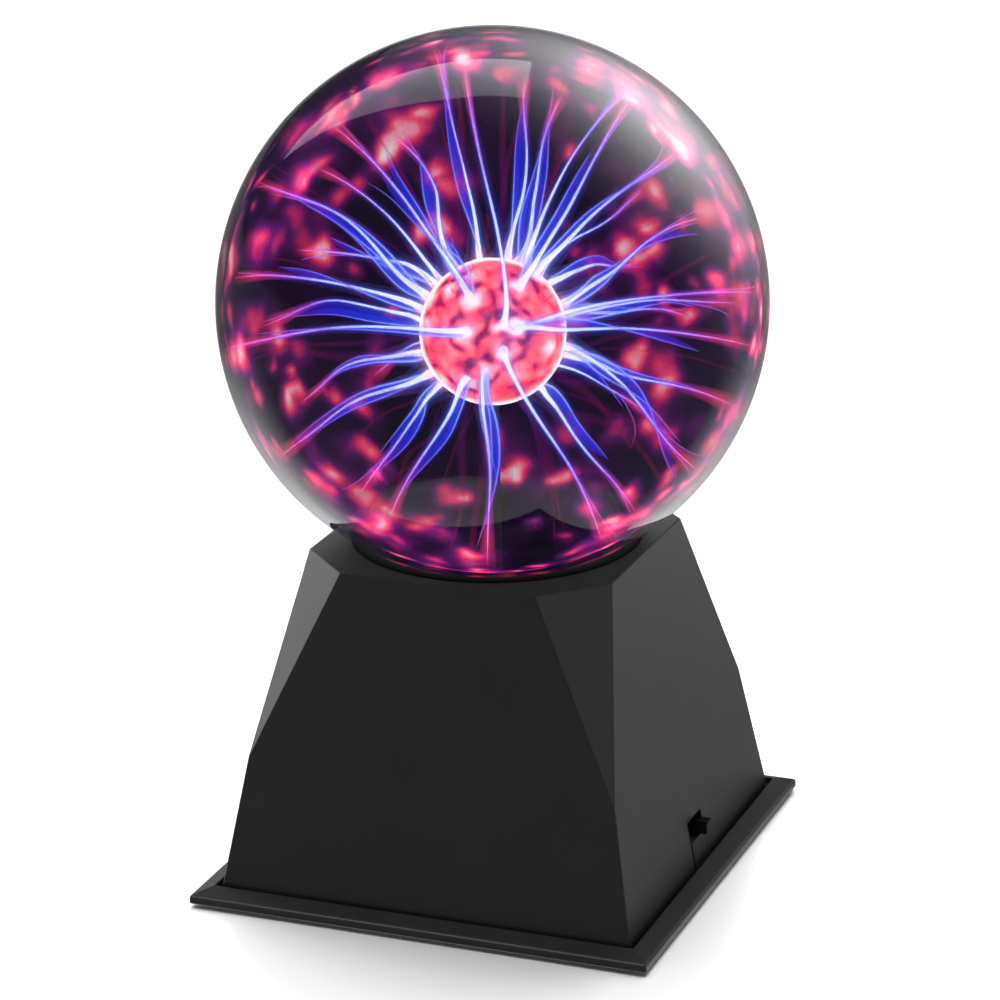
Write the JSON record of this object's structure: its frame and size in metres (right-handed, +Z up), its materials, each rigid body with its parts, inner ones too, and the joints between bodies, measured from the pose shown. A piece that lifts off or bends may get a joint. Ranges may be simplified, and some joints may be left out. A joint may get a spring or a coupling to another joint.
{
  "type": "plasma ball",
  "caption": "Gas-filled glass globe with a central glowing electrode on a faceted tapering base with a bevelled square plinth and a slide switch.",
  "frame": {"origin": "on the table, under the middle of the plinth", "axes": "+Z up through the globe's centre, +X towards the side with the slide switch, -Y the front, +Y the back with the power inlet"},
  "size_m": [0.1218, 0.1218, 0.1914],
  "materials": {
    "clear_glass": "polished blown glass",
    "glowing_glass": "thin glass lit from inside by the discharge",
    "bare_metal": "plain bright metal",
    "steel_zinc": "zinc plated",
    "base_plastic": "fine satin moulded black",
    "dark_plastic": "smooth black",
    "black_rubber": "dull",
    "ferrite": "ground dark grey",
    "copper_brown": "varnished winding and phenolic",
    "board_green": "solder mask",
    "cream_plastic": "natural nylon",
    "red_insulation": "wire insulation"
  },
  "bodies": {
    "lamp": {"glass_globe": "clear_glass", "stem_tube": "clear_glass", "electrode_bulb": "glowing_glass", "electrode_lining": "bare_metal", "contact_rod": "bare_metal", "exhaust_tip": "clear_glass", "base_shell": "base_plastic", "seat_ring": "black_rubber", "neck_washer": "black_rubber", "neck_clamp_front": "dark_plastic", "neck_clamp_back": "dark_plastic", "plinth": "base_plastic", "foot_front_left": "black_rubber", "foot_front_right": "black_rubber", "foot_back_right": "black_rubber", "foot_back_left": "black_rubber", "clamp_screw_front_left": "steel_zinc", "clamp_screw_front_right": "steel_zinc", "clamp_screw_back_right": "steel_zinc", "clamp_screw_back_left": "steel_zinc", "plinth_screw_front_left": "steel_zinc", "plinth_screw_front_right": "steel_zinc", "plinth_screw_back_right": "steel_zinc", "plinth_screw_back_left": "steel_zinc", "board_screw_front_left": "steel_zinc", "board_screw_front_right": "steel_zinc", "board_screw_back_right": "steel_zinc", "board_screw_back_left": "steel_zinc", "circuit_board": "board_green", "flyback_core": "ferrite", "flyback_former": "cream_plastic", "primary_winding": "copper_brown", "secondary_winding": "copper_brown", "heat_sink": "bare_metal", "power_transistor": "dark_plastic", "supply_capacitor": "dark_plastic", "timing_capacitor": "dark_plastic", "timer_chip": "dark_plastic", "film_capacitor": "copper_brown", "microphone": "bare_metal", "inlet_header": "cream_plastic", "switch_header": "cream_plastic", "switch_can": "steel_zinc", "switch_base": "copper_brown", "switch_screw_front": "steel_zinc", "switch_screw_back": "steel_zinc", "inlet_body": "dark_plastic", "inlet_pin": "bare_metal", "inlet_nut": "steel_zinc", "high_voltage_lead": "red_insulation", "inlet_lead_positive": "red_insulation", "inlet_lead_negative": "dark_plastic", "switch_lead_supply": "dark_plastic", "switch_lead_sound": "dark_plastic"},
    "switch_slider": {"switch_knob": "dark_plastic"}
  },
  "joints": [
    {"name": "switch_slide", "type": "slide", "parent": "lamp", "child": "switch_slider", "axis": [0, 1, 0], "range_m": [-0.0055, 0]}
  ]
}
